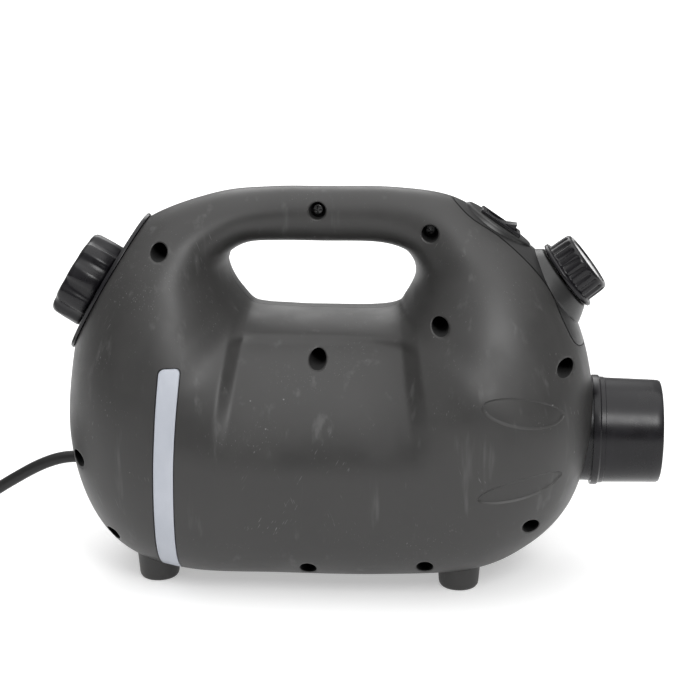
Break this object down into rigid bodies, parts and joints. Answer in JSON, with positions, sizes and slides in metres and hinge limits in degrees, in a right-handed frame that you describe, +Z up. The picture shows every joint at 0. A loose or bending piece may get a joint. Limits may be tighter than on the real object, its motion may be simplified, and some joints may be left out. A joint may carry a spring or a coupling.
{
  "type": "pet dryer",
  "caption": "Hand-carried pet dryer: rounded clamshell body with an integral handle, a rocker switch, heat and airflow knobs, an outlet tube and a mains cord.",
  "frame": {"origin": "on the floor below the middle of the dryer, between the four feet", "axes": "+X out of the outlet tube, +Y to the plain flank, -Y to the flank with the screws, +Z up"},
  "size_m": [0.5759, 0.23, 0.2413],
  "materials": {
    "shell_plastic": "dark charcoal moulded plastic with a fine satin grain",
    "panel_plastic": "darker satin plastic of the front panel",
    "black_plastic": "semi-gloss black plastic",
    "grey_inlay": "light grey satin inlay",
    "screw_steel": "blackened steel screws",
    "plated_steel": "plated sheet steel",
    "silver_cap": "bright silver disc",
    "brass": "turned brass",
    "copper_winding": "varnished copper windings",
    "carbon": "pressed carbon",
    "rubber": "black rubber",
    "cord_jacket": "black PVC jacket",
    "mica": "mica sheet",
    "board": "green circuit board",
    "terminal_plastic": "off-white terminal block",
    "foam": "dark filter foam"
  },
  "bodies": {
    "dryer": {"right_shell": "shell_plastic", "left_shell": "shell_plastic", "right_strip": "grey_inlay", "left_strip": "grey_inlay", "rear_right_foot": "rubber", "rear_left_foot": "rubber", "front_right_foot": "rubber", "front_left_foot": "rubber", "front_panel": "panel_plastic", "switch_bezel": "panel_plastic", "rocker_frame": "black_plastic", "heat_control": "plated_steel", "rear_plate": "black_plastic", "airflow_control": "plated_steel", "outlet_tube": "black_plastic", "fan_housing": "plated_steel", "motor_housing": "plated_steel", "stator": "copper_winding", "front_bearing": "brass", "upper_brush": "carbon", "lower_brush": "carbon", "rear_motor_mount": "rubber", "front_motor_mount": "rubber", "heater_tube": "plated_steel", "heater_frame": "mica", "heater_coil": "plated_steel", "thermal_cutout": "plated_steel", "control_board": "board", "heatsink": "plated_steel", "terminal_block": "terminal_plastic", "foam_filter": "foam", "cord_bush": "rubber", "mains_cord": "cord_jacket", "cord_coil": "cord_jacket", "cord_tail": "cord_jacket", "plug_body": "black_plastic", "plug_pin_near": "plated_steel", "plug_pin_far": "plated_steel", "rear_handle_screw": "screw_steel", "handle_middle_screw": "screw_steel", "handle_front_screw": "screw_steel", "waist_front_screw": "screw_steel", "waist_middle_screw": "screw_steel", "front_upper_screw": "screw_steel", "front_lower_screw": "screw_steel", "belly_front_screw": "screw_steel", "belly_middle_screw": "screw_steel", "rear_end_screw": "screw_steel", "rear_lower_screw": "screw_steel"},
    "rocker": {"rocker_paddle": "black_plastic"},
    "heat_dial": {"heat_knob": "black_plastic", "heat_knob_cap": "silver_cap", "heat_control_shaft": "brass"},
    "airflow_dial": {"airflow_knob": "black_plastic", "airflow_control_shaft": "brass"},
    "rotor": {"armature": "copper_winding", "impeller": "plated_steel"}
  },
  "joints": [
    {"name": "rocker_tilt", "type": "hinge", "parent": "dryer", "child": "rocker", "pos_m": [0.08715, 0, 0.2204], "axis": [0, 1, 0], "range_deg": [0, 22]},
    {"name": "heat_turn", "type": "hinge", "parent": "dryer", "child": "heat_dial", "pos_m": [0.12965, 0, 0.1898], "axis": [0.788, 0, 0.6157], "range_deg": [0, 270]},
    {"name": "airflow_turn", "type": "hinge", "parent": "dryer", "child": "airflow_dial", "pos_m": [-0.15385, 0, 0.1736], "axis": [-0.8616, 0, 0.5075], "range_deg": [0, 270]},
    {"name": "rotor_spin", "type": "hinge", "parent": "dryer", "child": "rotor", "pos_m": [0.00235, 0, 0.0908], "axis": [1, 0, 0], "continuous": true}
  ]
}
